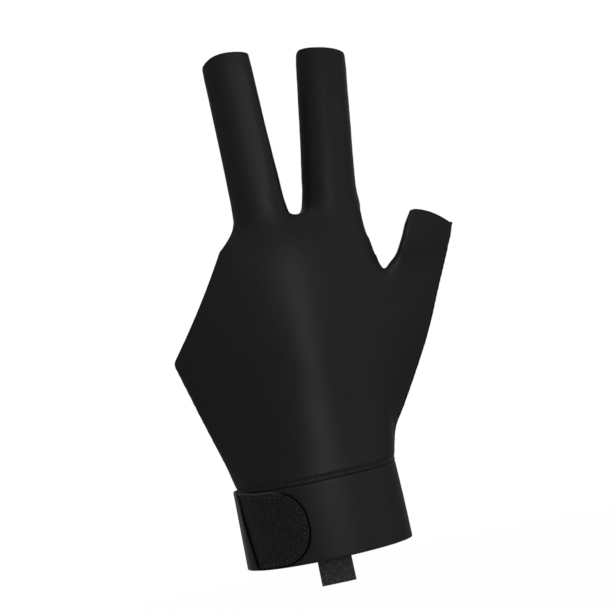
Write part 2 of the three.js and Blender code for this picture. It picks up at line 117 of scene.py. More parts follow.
STITCH_DIP = {"depth": 0.28, "width": 0.3}
PATCH_CROWN = {"rise": 0.22, "start": 1.6, "span": 5}
PATCH_NAP = {"size": 0.8, "height": 0.05}
PATCH_DENTS = {"size": 4.5, "height": 0.09}
PATCH_NAP_START = 0.6

# Hand
PALM_LENGTH = 106.3
PALM_DEPTH = 31
ULNAR_REACH = 47.5
RADIAL_REACH = 44
HAND_BOTTOM = back_low[2]
PALM_TOP = HAND_BOTTOM + PALM_LENGTH

# Ridge of the knuckles: a straight line up the back of the hand, from which the back falls to both sides
RIDGE = 5.5
RIDGE_ROUND = 15
RIDGE_LEAN = {"by": 2.6, "start": 0.62, "span": 0.3}
SIDE_RIDGE = 0.03
SIDE_FULL = 0.28
BELLY_ROUND = 2.4

# Finger sleeves
FINGER_DEPTH = 17.6
BEND_START_SHARE = 0.15
MIDDLE = {
    "root": -0.15, "tip": -1.2, "length": 67.3, "width": 20, "slope": 5.5,
    "arch": 3.0, "arch_form": (2, 0.7), "arch_skew": 0.36, "arch_depth": 2.5, "belly_arch": 1,
    "bend": 2.2, "bend_power": 2, "drop": 0, "turn": -0.235, "back": 0.8,
    "square": 5.5, "full": 0.6, "ridge": -0.17,
}
INDEX = {
    "root": 28.45, "tip": 37.9, "length": 63.65, "width": 20.8, "slope": -12.3,
    "arch": 2.7, "arch_form": (2.5, 0.4), "arch_skew": 0, "arch_depth": 2.5, "belly_arch": 1,
    "bend": 13, "bend_power": 1.35, "drop": 3, "turn": 0.08, "back": 0.85,
    "square": 2.2, "full": 0.8, "ridge": 0,
}

# Thumb sleeve
THUMB_REACH = 76.9
THUMB_LENGTH = 94.6
THUMB_DEPTH = 17.4
THUMB_DROP = 9
THUMB_CUT = {
    "across": 0.8856, "width": 16.8, "slope": -26.6, "turn": 0.45,
    "arch": 1.8, "arch_form": (2, 1), "arch_skew": 0, "arch_depth": 1, "belly_arch": 0.3,
}

# Opening for the ring and little fingers
WINDOW_CORNER_RISE = 56.65
WINDOW_CORNER_RADIUS = 1.6
WINDOW_BOW = 1.8
WINDOW_BEND = {"across": 0.796, "up": 0.816}
WINDOW_FILLET = 4
WINDOW_STEPS = {"corner": 8, "edge": 14, "fillet": 10}

# Level sections of the limbs, as shares of the sizes above
PALM_COLUMNS = ("up", "ulnar", "radial", "deep", "square", "full")
PALM_SECTIONS = (
    (0.064, 0.715, 0.764, 1.3, 2.05, 0.75),
    (0.17, 0.776, 0.803, 1.15, 2.1, 0.4),
    (0.31, 0.861, 0.866, 1.08, 2.2, 0.22),
    (0.46, 0.955, 0.926, 1.04, 2.3, 0.2),
    (0.6, 1.045, 0.975, 0.98, 2.4, 0.2),
    (0.73, 1.08, 1.002, 0.92, 2.5, 0.2),
    (0.79, 1.08, 0.968, 0.88, 2.5, 0.2),
    (0.85, 1.08, 0.945, 0.83, 2.5, 0.2),
    (0.92, 1.05, 0.933, 0.75, 2.4, 0.2),
    (0.97, 1.05, 0.918, 0.6, 2.2, 0.2),
    (1.0, 1.05, 0.914, 0.38, 2.0, 0.2),
)
SIDE_COLUMNS = ("up", "inner", "outer", "deep", "bow", "back", "turn")
WEB_SECTIONS = (
    (0.15, -0.1, 0.47, 1.1, 0.05, 0.7, 0.2),
    (0.3, 0.06, 0.57, 0.98, 0.18, 0.6, 0.4),
    (0.43, 0.22, 0.66, 0.8, 0.3, 0.55, 0.45),
    (0.56, 0.35, 0.745, 0.6, 0.42, 0.55, 0.45),
    (0.66, 0.43, 0.785, 0.44, 0.5, 0.6, 0.45),
    (0.71, 0.48, 0.765, 0.3, 0.52, 0.8, 0.45),
)
THUMB_SECTIONS = (
    (0.07, 0.04, 0.443, 2.1, 0.02, 0.75, 0.1),
    (0.14, 0.11, 0.472, 2.02, 0.08, 0.65, 0.25),
    (0.223, 0.2, 0.54, 1.9, 0.18, 0.54, 0.38),
    (0.308, 0.28, 0.604, 1.78, 0.3, 0.46, 0.42),
    (0.393, 0.35, 0.667, 1.66, 0.42, 0.42, 0.45),
    (0.478, 0.42, 0.728, 1.54, 0.53, 0.41, 0.45),
    (0.563, 0.485, 0.784, 1.42, 0.63, 0.41, 0.45),
    (0.69, 0.55, 0.856, 1.26, 0.75, 0.44, 0.45),
    (0.775, 0.575, 0.906, 1.17, 0.82, 0.49, 0.45),
    (0.82, 0.598, 0.931, 1.12, 0.86, 0.53, 0.45),
    (0.845, 0.632, 0.944, 1.09, 0.88, 0.55, 0.45),
    (0.862, 0.657, 0.953, 1.07, 0.9, 0.57, 0.45),
    (0.903, 0.688, 0.977, 1.04, 0.93, 0.59, 0.45),
    (0.946, 0.717, 1.0, 1.01, 0.96, 0.6, 0.45),
    (0.99, 0.742, 1.025, 1.0, 1.0, 0.6, 0.45),
    (1.03, 0.773, 1.047, 1.0, 1.03, 0.6, 0.45),
    (1.1, 0.83, 1.085, 1.0, 1.08, 0.6, 0.45),
)
FINGER_COLUMNS = ("along", "wide", "deep")
FINGER_SECTIONS = (
    (-0.5, 0.72, 0.8),
    (-0.3, 0.93, 1.1),
    (-0.13, 1.08, 1.28),
    (0.0, 1.19, 1.31),
    (0.03, 1.145, 1.3),
    (0.09, 1.095, 1.26),
    (0.25, 1.055, 1.16),
    (0.5, 1.027, 1.07),
    (0.78, 1.003, 1.02),
    (1.0, 1.0, 1.0),
    (1.15, 1.0, 1.0),
)

# Where the side seam's surface passes from the hand to the thumb, as shares of the thumb's length and reach
WEB_SHARE_COLUMNS = ("up", "start", "end")
WEB_SHARES = (
    (0.0, 0.2, 0.42),
    (0.3, 0.38, 0.56),
    (0.6, 0.5, 0.64),
    (0.8, 0.53, 0.585),
    (1.0, 0.6, 0.7),
)
SEAM_BLEND = {"fingers": 8, "palm": 24}
SECTION_COLUMNS = ("z", "left", "right", "deep", "square", "bow", "ridge", "full", "back", "turn")


# Small helpers


def rows_of(columns, table):
    return [dict(zip(columns, row)) for row in table]


def smooth_step(t):
    s = np.clip(t, 0, 1)
    return s * s * (3 - 2 * s)


def ramp(value, start, span):
    """0 at the start and 1 a span beyond it, which lies below it for a span under 0."""
    return smooth_step((value - start) / span)


def signed_power(value, power):
    return np.sign(value) * np.abs(value) ** power


def unit(vectors):
    return vectors / np.maximum(np.linalg.norm(vectors, axis=-1, keepdims=True), 1e-12)


def bump_curve(distance, width):
    """1 on a line and falling smoothly to 0 with the distance from it."""
    return np.exp(-((distance / width) ** 2))


def travel(points):
    """Distances travelled along a line of points."""
    return np.concatenate([[0], np.cumsum(np.linalg.norm(np.diff(points, axis=0), axis=1))])


def unevenness(across, up, size, layer):
    """Smooth noise over a cloth, in bumps of one size. Each layer has a pattern of its own."""
    return np.array([noise.noise(Vector((a / size, b / size, layer))) for a, b in zip(across, up)])


def finger_bow(z, finger):
    """How far a finger's middle surface has bent towards the palm at height z."""
    start = PALM_TOP - BEND_START_SHARE * PALM_LENGTH
    end = PALM_TOP + finger["length"]
    return finger["bend"] * np.maximum(0, (z - start) / (end - start)) ** finger["bend_power"]


# Limbs of the hand, as tables of level sections


def palm_rows():
    wrist = (HAND_BOTTOM - 1, -CUFF_WIDTH / 2, CUFF_WIDTH / 2, CUFF_DEPTH, 2, 0, 0, 1, 1, 0)
    rows = [wrist, (HAND_BOTTOM, *wrist[1:])]
    for share in rows_of(PALM_COLUMNS, PALM_SECTIONS):
        z = HAND_BOTTOM + share["up"] * PALM_LENGTH
        left = -share["ulnar"] * ULNAR_REACH
        right = share["radial"] * RADIAL_REACH
        lean = RIDGE_LEAN["by"] * ramp(share["up"], RIDGE_LEAN["start"], RIDGE_LEAN["span"])
        ridge = RIDGE * (1 - share["full"] ** 2) - lean
        deep = share["deep"] * PALM_DEPTH
        bow = finger_bow(z, MIDDLE)
        rows.append((z, left, right, deep, share["square"], bow, ridge, share["full"], 1, 0))
    return rows


def side_rows(sections, length, depth):
    """The web or the thumb."""
    rows = []
    for share in rows_of(SIDE_COLUMNS, sections):
        z = HAND_BOTTOM + share["up"] * length
        left = share["inner"] * THUMB_REACH
        right = share["outer"] * THUMB_REACH
        ridge = left + SIDE_RIDGE * (right - left)
        form = (2, share["bow"] * THUMB_DROP, ridge, SIDE_FULL, share["back"], share["turn"])
        rows.append((z, left, right, share["deep"] * depth, *form))
    return rows


def thumb_rows():
    base = (HAND_BOTTOM, 0, CUFF_WIDTH / 2, 0.9 * CUFF_DEPTH, 2, 0, CUFF_WIDTH / 4, 0.4, 0.8, 0)
    return [base, *side_rows(THUMB_SECTIONS, THUMB_LENGTH, THUMB_DEPTH)]


def finger_rows(finger):
    rows = []
    form = [finger[name] for name in ("full", "back", "turn")]
    for share in rows_of(FINGER_COLUMNS, FINGER_SECTIONS):
        z = PALM_TOP + share["along"] * finger["length"]
        centre = finger["root"] + (finger["tip"] - finger["root"]) * share["along"]
        half = finger["width"] * share["wide"] / 2
        deep = FINGER_DEPTH * share["deep"]
        bow = finger_bow(z, finger) + finger["drop"]
        ridge = centre + 2 * half * finger["ridge"]
        rows.append((z, centre - half, centre + half, deep, finger["square"], bow, ridge, *form))
    return rows


def curve_through(knots, values, at):
    """Smooth curves through a table's rows, read at other heights."""
    step = np.diff(knots)[:, None]
    slope = np.diff(values, axis=0) / step
    tangent = np.empty_like(values)
    tangent[0] = slope[0]
    tangent[-1] = slope[-1]
    tangent[1:-1] = (slope[:-1] * step[1:] + slope[1:] * step[:-1]) / (step[1:] + step[:-1])
    k = np.clip(np.searchsorted(knots, at, side="right") - 1, 0, len(knots) - 2)
    h = step[k]
    t = ((at - knots[k])[:, None]) / h
    return (
        (1 + 2 * t) * (1 - t) ** 2 * values[k]
        + t * (1 - t) ** 2 * h * tangent[k]
        + t * t * (3 - 2 * t) * values[k + 1]
        + t * t * (t - 1) * h * tangent[k + 1]
    )


def limb(rows, sides=72, step=2.0):
    """A closed tube through level superellipses, as points and faces."""
    table = np.array(rows, float)
    at = np.append(np.arange(table[0, 0], table[-1, 0], step), table[-1, 0])
    filled = dict(zip(SECTION_COLUMNS, curve_through(table[:, 0], table, at).T[:, :, None]))
    angle = np.linspace(0, 2 * math.pi, sides, endpoint=False)[None, :]
    power = 2 / filled["square"]
    across = signed_power(np.cos(angle), power)
    deep = signed_power(np.sin(angle), power)
    left, right, ridge = filled["left"], filled["right"], filled["ridge"]
    centre = (left + right) / 2
    x = centre + (right - left) / 2 * across
    reach = np.where(x > ridge, right - ridge, ridge - left)
    share = np.minimum(np.abs(x - ridge) / reach, 1)
    round_share = np.minimum(RIDGE_ROUND / reach, 0.5)
    roof = 1 - (np.hypot(share, round_share) - round_share) / (np.hypot(1, round_share) - round_share)
    dome = (1 - share ** filled["square"]) ** (1 / filled["square"])
    back = -filled["back"] * (filled["full"] * dome + (1 - filled["full"]) * roof)
    belly_form = np.minimum(filled["square"], BELLY_ROUND)
    belly = (1 - np.minimum(np.abs(across), 1) ** belly_form) ** (1 / belly_form)
    y = filled["bow"] + filled["deep"] / 2 * np.where(deep < 0, back, belly) + filled["turn"] * (x - centre)
    z = np.broadcast_to(filled["z"], x.shape)
    points = np.stack([x, y, z], axis=-1).reshape(-1, 3)
    return points, tube_faces(len(at), sides)


def strip_faces(rows, columns, closed=False):
    """Quads between neighbouring rows of points, wrapped round when the rows are closed."""
    faces = []
    for r in range(rows - 1):
        for c in range(columns if closed else columns - 1):
            a = r * columns + c
            b = r * columns + (c + 1) % columns
            faces.append([a, b, b + columns, a + columns])
    return faces


def tube_faces(rows, sides):
    """The faces of a closed tube with flat ends."""
    last = (rows - 1) * sides
    ends = [list(range(sides))[::-1], list(range(last, last + sides))]
    return strip_faces(rows, sides, closed=True) + ends


# Meshes from points and faces


def mesh_object(name, points, faces):
    """A Blender object in metres from points in millimetres."""
    mesh = bpy.data.meshes.new(name)
    mesh.from_pydata((np.asarray(points) * MM).tolist(), [], faces)
    mesh.validate()
    mesh.update()
    mesh.polygons.foreach_set("use_smooth", [True] * len(mesh.polygons))
    piece = bpy.data.objects.new(name, mesh)
    bpy.context.scene.collection.objects.link(piece)
    return piece


def thick_sheet(outer, inner, faces):
    """A sheet with its inner side and closed edges, as points and faces."""
    count = len(outer)
    sides = [(a, b) for face in faces for a, b in zip(face, face[1:] + face[:1])]
    known = set(sides)
    inside = [[i + count for i in reversed(face)] for face in faces]
    edge = [[b, a, a + count, b + count] for a, b in sides if (b, a) not in known]
    return np.concatenate([outer, inner]), faces + inside + edge


def join_parts(parts):
    """Several (points, faces) pairs as one."""
    points = []
    faces = []
    for part_points, part_faces in parts:
        first = len(points)
        points.extend(np.asarray(part_points).tolist())
        faces.extend([[first + i for i in face] for face in part_faces])
    return np.array(points), faces


def add_piece(name, form, cloth, nodes=(), attributes=None):
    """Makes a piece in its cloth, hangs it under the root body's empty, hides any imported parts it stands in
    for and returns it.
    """
    piece = mesh_object(name, *form)
    for key, values in (attributes or {}).items():
        layer = piece.data.attributes.new(key, "FLOAT", "POINT")
        layer.data.foreach_set("value", np.asarray(values, float))
    piece.data.materials.append(cloth.material)
    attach(piece, "root")
    if nodes:
        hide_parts(*nodes)
    return piece


# One closed skin over all the limbs, relaxed where they join

VOXEL = 1.15
SKIN_LIFT = 0.22
CUT_MARGIN = 0.25
WRIST_OVERLAP = 0.03
ON_LINE = 0.04

# All of the skin is smoothed without shrinking. The finger roots, the web's valley and the ridge's crest are
# then blended, only where the skin faces the front or the back. Pairs are a start and a span.
SMOOTHING = {"step": 0.5, "return_step": -0.52, "rounds": 14}
BLENDING = {"step": 0.55, "rounds": 130, "softening_rounds": 4}
FACING = (0.3, 0.4)
BLEND_START = (33, 8)
ROOT_BLEND = {"drop": 6, "width": 17, "left": -14, "left_span": 4, "right": 46}
VALLEY = {"heights": (36, 60, 90, 108), "places": (12, 26, 38, 45), "width": 16, "end": 118, "fade": 12}
CREST = {"heights": (33, 60, 110), "places": (6.5, 8.5, 6.5), "width": 15, "end": 84, "fade": 30}


def fused_skin(parts):
    """The outer skin of overlapping closed solids, as points, edges and faces."""
    rough = mesh_object("rough_hand", *join_parts(parts))
    remesh = rough.modifiers.new("fuse", "REMESH")
    remesh.mode = "VOXEL"
    remesh.voxel_size = VOXEL * MM
    depsgraph = bpy.context.evaluated_depsgraph_get()
    skin = bpy.data.meshes.new_from_object(rough.evaluated_get(depsgraph))
    points = np.empty(len(skin.vertices) * 3)
    skin.vertices.foreach_get("co", points)
    edges = np.empty(len(skin.edges) * 2, int)
    skin.edges.foreach_get("vertices", edges)
    faces = [list(face.vertices) for face in skin.polygons]
    bpy.data.objects.remove(rough)
    return points.reshape(-1, 3) / MM, edges.reshape(-1, 2), faces


def relax(points, edges, weight, rounds):
    """Moves each point towards the mean of its neighbours, as far as its weight says."""
    count = np.bincount(edges.ravel(), minlength=len(points))[:, None]
    ends = np.concatenate([edges, edges[:, ::-1]])
    points = points.copy()
    for _ in range(rounds):
        columns = [np.bincount(ends[:, 0], column[ends[:, 1]], len(points)) for column in points.T]
        points += weight[:, None] * (np.stack(columns, axis=1) / np.maximum(count, 1) - points)
    return points


def point_normals(points, faces):
    normals = np.zeros_like(points)
    for size in {len(face) for face in faces}:
        group = np.array([face for face in faces if len(face) == size])
        corner = points[group]
        area = np.zeros((len(group), 3))
        for k in range(1, size - 1):
            area += np.cross(corner[:, k] - corner[:, 0], corner[:, k + 1] - corner[:, 0])
        for k in range(size):
            np.add.at(normals, group[:, k], area)
    return unit(normals)


def along_line(x, z, line):
    """1 along a slanting line on the hand, falling to its sides, towards the wrist and at its end."""
    beside = x - np.interp(z, line["heights"], line["places"])
    return bump_curve(beside, line["width"]) * ramp(z, line["end"], -line["fade"]) * ramp(z, *BLEND_START)


def relaxed_skin():
    web = side_rows(WEB_SECTIONS, PALM_LENGTH, PALM_DEPTH)
    parts = [palm_rows(), web, thumb_rows(), finger_rows(MIDDLE), finger_rows(INDEX)]
    points, edges, faces = fused_skin([limb(rows) for rows in parts])
    everywhere = np.ones(len(points))
    for _ in range(SMOOTHING["rounds"]):
        points = relax(points, edges, SMOOTHING["step"] * everywhere, 1)
        points = relax(points, edges, SMOOTHING["return_step"] * everywhere, 1)
    facing = ramp(np.abs(point_normals(points, faces)[:, 1]), *FACING)
    x, z = points[:, 0], points[:, 2]
    roots = bump_curve(z - PALM_TOP + ROOT_BLEND["drop"], ROOT_BLEND["width"]) * (x < ROOT_BLEND["right"])
    roots *= ramp(x, ROOT_BLEND["left"], ROOT_BLEND["left_span"])
    blended = np.clip(roots + along_line(x, z, VALLEY) + along_line(x, z, CREST), 0, 1)
    weight = (BLENDING["step"] * facing * blended)[:, None]
    soft_weight = relax(weight, edges, SMOOTHING["step"] * everywhere, BLENDING["softening_rounds"])
    return relax(points, edges, soft_weight[:, 0], BLENDING["rounds"]), edges, faces


# Lines on the skin: where it is cut, sewn or rounded off


def quadratic(a, control, b, steps):
    t = np.linspace(0, 1, steps)[1:, None]
    a, control, b = (np.array(p, float) for p in (a, control, b))
    return (1 - t) ** 2 * a + 2 * t * (1 - t) * control + t * t * b


def window_outline():
    """The opening's edge in x and z, from beyond the little finger's side up past the middle finger."""
    corner = np.array([-ULNAR_REACH, HAND_BOTTOM + WINDOW_CORNER_RISE])
    radius = WINDOW_CORNER_RADIUS
    root_wide = rows_of(FINGER_COLUMNS, FINGER_SECTIONS)[3]["wide"]
    top = np.array([MIDDLE["root"] - root_wide * MIDDLE["width"] / 2 + GAP / 2, PALM_TOP + 2 * GAP])
    span = top - corner
    along = span / np.linalg.norm(span)
    start = corner + along * radius
    bend = corner + span * np.array([WINDOW_BEND["across"], WINDOW_BEND["up"]])
    bow = (start + bend) / 2 + WINDOW_BOW * np.array([along[1], -along[0]])
    below = corner + np.array([0.2 * radius, -radius])
    fillet_start = top - np.array([WINDOW_FILLET / 4, WINDOW_FILLET])
    return np.array([
        [-2 * ULNAR_REACH, corner[1] - 2 * radius],
        [corner[0] - radius, corner[1] - 2 * radius],
        below,
        *quadratic(below, corner, start, WINDOW_STEPS["corner"]),
        *quadratic(start, bow, bend, WINDOW_STEPS["edge"]),
        *quadratic(bend, fillet_start, top, WINDOW_STEPS["fillet"]),
        [top[0] - WINDOW_FILLET / 2, top[1] + WINDOW_FILLET],
        [top[0] - WINDOW_FILLET / 2, top[1] + 2 * MIDDLE["length"]],
    ])


def window_field(points):
    """Signed distance from the opening's edge, above 0 on the fabric."""
    outline = window_outline()
    p = points[:, None, [0, 2]]
    a = outline[None, :-1]
    d = outline[None, 1:] - a
    t = np.clip(((p - a) * d).sum(-1) / (d * d).sum(-1), 0, 1)
    offset = p - (a + t[..., None] * d)
    distance = np.linalg.norm(offset, axis=-1)
    nearest = distance.argmin(axis=1)
    pick = np.arange(len(points))
    side = (d[..., 1] * offset[..., 0] - d[..., 0] * offset[..., 1])[pick, nearest]
    return np.sign(side) * distance[pick, nearest]


def middle_surface(rows, x, z):
    """The surface through a limb's side edges, at points in x and z."""
    row = dict(zip(SECTION_COLUMNS, np.array(rows).T))
    bow, turn, left, right = (np.interp(z, row["z"], row[name]) for name in ("bow", "turn", "left", "right"))
    return bow + turn * (x - (left + right) / 2)


def seam_field(points):
    """Distance behind the surface on which the side seams lie."""
    x, y, z = points.T
    table = dict(zip(WEB_SHARE_COLUMNS, np.array(WEB_SHARES).T))
    up = (z - HAND_BOTTOM) / THUMB_LENGTH
    start, end = (THUMB_REACH * np.interp(up, table["up"], table[name]) for name in ("start", "end"))
    towards_thumb = smooth_step((x - start) / (end - start))
    towards_thumb = np.where(z < HAND_BOTTOM + THUMB_LENGTH + THUMB_DEPTH, towards_thumb, 0)
    between = (MIDDLE["root"] + INDEX["root"]) / 2
    towards_index = smooth_step((x - between) / SEAM_BLEND["fingers"] + 0.5)
    middle = middle_surface(finger_rows(MIDDLE), x, z)
    index = middle_surface(finger_rows(INDEX), x, z)
    fingers = middle + towards_index * (index - middle)
    above = smooth_step((z - PALM_TOP) / SEAM_BLEND["palm"] + 1)
    hand = finger_bow(z, MIDDLE) * (1 - above) + fingers * above
    thumb = middle_surface(thumb_rows(), x, z)
    return y - (hand + towards_thumb * (thumb - hand))


# How a sleeve's end is cut: how far from its middle, up to which share of its width and how steeply
END_REACH = 1.3
END_SHARE = 0.999
END_STEP = 0.02
END_STEEPEST = 2


def arched_end(centre, end):
    """Distance below a sleeve's open end, which arches up on its back and down on its palm side."""
    slope = math.tan(math.radians(end["slope"]))
    power, root = end["arch_form"]
    reach = END_REACH * end["width"]

    def end_height(share, lift):
        arch = end["arch"] * (1 - np.abs(share) ** power) ** root * (1 - end["arch_skew"] * share)
        return slope * share * end["width"] / 2 + lift * arch

    def field(points):
        offset = points - np.array(centre)
        share = np.clip(2 * offset[:, 0] / end["width"], -END_SHARE, END_SHARE)
        raised = (end["turn"] * offset[:, 0] - offset[:, 1]) / end["arch_depth"]
        lift = np.clip(raised, -end["belly_arch"], 1)
        inner = np.clip(share, -1 + 2 * END_STEP, 1 - 2 * END_STEP)
        change = end_height(inner + END_STEP, lift) - end_height(inner - END_STEP, lift)
        rise = np.clip(change / (END_STEP * end["width"]), -END_STEEPEST, END_STEEPEST)
        below = (end_height(share, lift) - offset[:, 2]) / np.hypot(1, rise)
        return np.where(np.linalg.norm(offset, axis=1) > reach, reach, below)

    return field


def finger_end(finger):
    top = PALM_TOP + finger["length"]
    return arched_end((finger["tip"], finger_bow(top, finger) + finger["drop"], top), finger)


def thumb_end():
    middle = (THUMB_CUT["across"] * THUMB_REACH, THUMB_DROP, HAND_BOTTOM + THUMB_LENGTH)
    return arched_end(middle, THUMB_CUT)


def wrist_field(points):
    return points[:, 2] - HAND_BOTTOM + GAP - WRIST_OVERLAP - CUT_MARGIN


OPEN_EDGES = [wrist_field, finger_end(MIDDLE), finger_end(INDEX), thumb_end(), window_field]


def edge_distance(points):
    return np.min([field(points) for field in OPEN_EDGES], axis=0) + CUT_MARGIN


def draw_line(mesh, field, level, remove=False):
    """Splits the faces that a field's level line crosses along it, and may take what lies below away."""
    layer = mesh.verts.layers.float.get("line") or mesh.verts.layers.float.new("line")
    verts = list(mesh.verts)
    values = field(np.array([v.co for v in verts])) - level
    values[np.abs(values) < ON_LINE] = 0
    for vert, value in zip(verts, values):
        vert[layer] = value
    crossed = [e for e in mesh.edges if e.verts[0][layer] * e.verts[1][layer] < 0]
    for edge in crossed:
        a, b = edge.verts
        share = a[layer] / (a[layer] - b[layer])
        _, middle = bmesh.utils.edge_split(edge, a, share)
        middle[layer] = 0
    touched = {face for vert in mesh.verts if vert[layer] == 0 for face in vert.link_faces}
    for face in touched:
        on = [vert for vert in face.verts if vert[layer] == 0]
        if len(on) == 2 and not mesh.edges.get(on):
            bmesh.utils.face_split(face, on[0], on[1])
    if remove:
        gone = [f for f in mesh.faces if sum(v[layer] for v in f.verts) < 0]
        bmesh.ops.delete(mesh, geom=gone, context="FACES")


# Rounded rims, seam grooves and the twin stitch line at the wrist
RIM_RADIUS = 0.45
RIM_LEVELS = (0.18, RIM_RADIUS)
INNER_ROUNDING = 0.8
SEAM_GROOVE = {"depth": 0.34, "width": 0.42}
SEAM_SHARPNESS = 1.5
FAR_FROM_SEAM = 9.0
WRIST_ROUNDING = 0.3
WRIST_RIM_HEIGHT = 2
TWIN_LINE = {"height": 33.4, "depth": 0.36, "width": 0.42, "levels": (-1.2, -0.85, -0.35, 0, 0.35)}
TWIN_RIDGE = {"height": 32.4, "rise": 0.1, "width": 0.5}
RELIEF = {"size": 26, "height": 0.3, "fine_size": 9, "fine_height": 0.06, "fine_shift": (7, 3, 1)}
RELIEF_MARGIN = 6


def hand_arrays():
    """The cut and scored outer skin, as points, faces and normals."""
    points, _, faces = relaxed_skin()
    mesh = bmesh.new()
    corners = [mesh.verts.new(point) for point in points]
    for face in faces:
        mesh.faces.new([corners[i] for i in face])
    for field in OPEN_EDGES:
        draw_line(mesh, field, -CUT_MARGIN, remove=True)
    for field in OPEN_EDGES:
        for level in RIM_LEVELS:
            draw_line(mesh, field, level - CUT_MARGIN)
    for level in (-SEAM_GROOVE["width"], 0, SEAM_GROOVE["width"]):
        draw_line(mesh, seam_field, level)
    for level in TWIN_LINE["levels"]:
        draw_line(mesh, lambda p: p[:, 2] - TWIN_LINE["height"], level)
    loose = [v for v in mesh.verts if not v.link_faces]
    bmesh.ops.delete(mesh, geom=loose, context="VERTS")
    bmesh.ops.triangulate(mesh, faces=[f for f in mesh.faces if len(f.verts) > 4])
    mesh.verts.index_update()
    points = np.array([v.co for v in mesh.verts])
    faces = [[v.index for v in f.verts] for f in mesh.faces]
    mesh.free()
    return points, faces, point_normals(points, faces)


def fabric_relief(points):
    """Slight unevenness of the stretched fabric."""
    shift = Vector(RELIEF["fine_shift"])
    broad = [noise.noise(Vector(p) / RELIEF["size"]) for p in points]
    fine = [noise.noise(Vector(p) / RELIEF["fine_size"] + shift) for p in points]
    return RELIEF["height"] * np.array(broad) + RELIEF["fine_height"] * np.array(fine)


def hand_shell():
    """The skin with its inner side, and for each point its distance from the seam and from the open edges."""
    points, faces, normals = hand_arrays()
    edge = edge_distance(points)
    seam = seam_field(points)
    z = points[:, 2]
    away = smooth_step(edge / RELIEF_MARGIN)
    depth_in_rim = np.clip(1 - edge / RIM_RADIUS, 0, 1)
    rounding = RIM_RADIUS * (1 - np.sqrt(np.maximum(0, 1 - depth_in_rim**2)))
    rounding *= np.where(z < HAND_BOTTOM + 1, WRIST_ROUNDING, 1)
    relief = fabric_relief(points) * away
    relief -= SEAM_GROOVE["depth"] * bump_curve(seam, SEAM_GROOVE["width"] / SEAM_SHARPNESS)
    relief -= TWIN_LINE["depth"] * bump_curve(z - TWIN_LINE["height"], TWIN_LINE["width"])
    relief += TWIN_RIDGE["rise"] * bump_curve(z - TWIN_RIDGE["height"], TWIN_RIDGE["width"])
    outer = points + normals * (relief - rounding + SKIN_LIFT * away)[:, None]
    inner = points - normals * (PANEL_WALL - INNER_ROUNDING * rounding)[:, None]
    # Distance that drives the painted hem shadow along the cut rims. It is kept off the wrist's edge, which
    # sits inside the cuff.
    rim = edge + smooth_step((HAND_BOTTOM + WRIST_RIM_HEIGHT - z) / WRIST_RIM_HEIGHT)
    inner_seam = np.full(len(points), FAR_FROM_SEAM)
    attributes = {"seam": np.concatenate([np.abs(seam), inner_seam]), "rim": np.concatenate([rim, rim])}
    return thick_sheet(outer, inner, faces), attributes


# The cuff's outline, and points on bands that follow it


def ellipse_angles():
    """A table of angle against distance round the cuff at its middle height."""
    angle = np.linspace(0, 2 * math.pi, 1441)
    half_width = (CUFF_WIDTH + CUFF_FLARE / 2) / 2
    half_depth = (CUFF_DEPTH + CUFF_FLARE / 2) / 2
    x = -half_width * np.cos(angle)
    y = -half_depth * np.sin(angle)
    return angle, travel(np.stack([x, y], axis=1))


ANGLE_TABLE, TRAVEL_TABLE = ellipse_angles()
CUFF_ROUND = TRAVEL_TABLE[-1]


def on_cuff(along, z, out):
    """Points at distances round the cuff from the little finger's side, pushed out from its outside."""
    along, z, out = np.broadcast_arrays(np.asarray(along, float), z, out)
    angle = np.interp(np.mod(along, CUFF_ROUND), TRAVEL_TABLE, ANGLE_TABLE)
    widening = CUFF_FLARE * (1 - z / CUFF_HEIGHT)
    half_width = (CUFF_WIDTH + widening) / 2
    half_depth = (CUFF_DEPTH + widening) / 2
    tangent = unit(np.stack([half_width * np.sin(angle), -half_depth * np.cos(angle)], axis=-1))
    x = -half_width * np.cos(angle) + out * tangent[..., 1]
    y = -half_depth * np.sin(angle) - out * tangent[..., 0]
    return np.stack([x, y, z], axis=-1)


def plate_ring(low, high, inner, outer, radius, steps, corner_steps=5):
    """A rounded upright section of a band: heights and offsets, counted round it."""
    radius = min(radius, (high - low) / 2.01, (outer - inner) / 2.01)
    turn = np.linspace(0, math.pi / 2, corner_steps)
    rise, fall = radius * np.sin(turn), radius * np.cos(turn)
    bottom, top, near, far = low + radius, high - radius, inner + radius, outer - radius
    face = np.linspace(bottom, top, steps)[1:-1]
    even = np.ones(len(face))
    z = [bottom - fall, face, top + rise, top + fall, face[::-1], bottom - rise]
    out = [far + rise, outer * even, far + fall, near - rise, inner * even, near - fall]
    return np.concatenate(z), np.concatenate(out)


def band(sections):
    """A closed band through (along, heights, offsets) sections with flat ends."""
    points = np.concatenate([on_cuff(along, z, out) for along, z, out in sections])
    faces = tube_faces(len(sections), len(sections[0][1]))
    return points, [face[::-1] for face in faces]


def cuff():
    """The double fabric band, a little fuller between its folded edges."""
    sections = []
    for along in np.linspace(CUFF_SLIT / 2, CUFF_ROUND - CUFF_SLIT / 2, 170):
        z, out = plate_ring(0, CUFF_HEIGHT, -CUFF_WALL, 0, CUFF_EDGE_RADIUS, steps=26)
        rise = np.sin(np.pi * np.clip(z / CUFF_HEIGHT, 0, 1))
        wave = noise.noise(Vector((along / CUFF_WAVE["length"], 0, 3.1)))
        fuller = CUFF_FULLNESS * (out > -CUFF_WALL / 2) + CUFF_WAVE["height"] * wave
        sections.append((along, z, out + fuller * rise))
    return band(sections)


def strap_climb(along):
    """How far the strap's upper edge has climbed towards the little finger's side."""
    return STRAP_CLIMB * smooth_step(1 - along / STRAP_CLIMB_END)


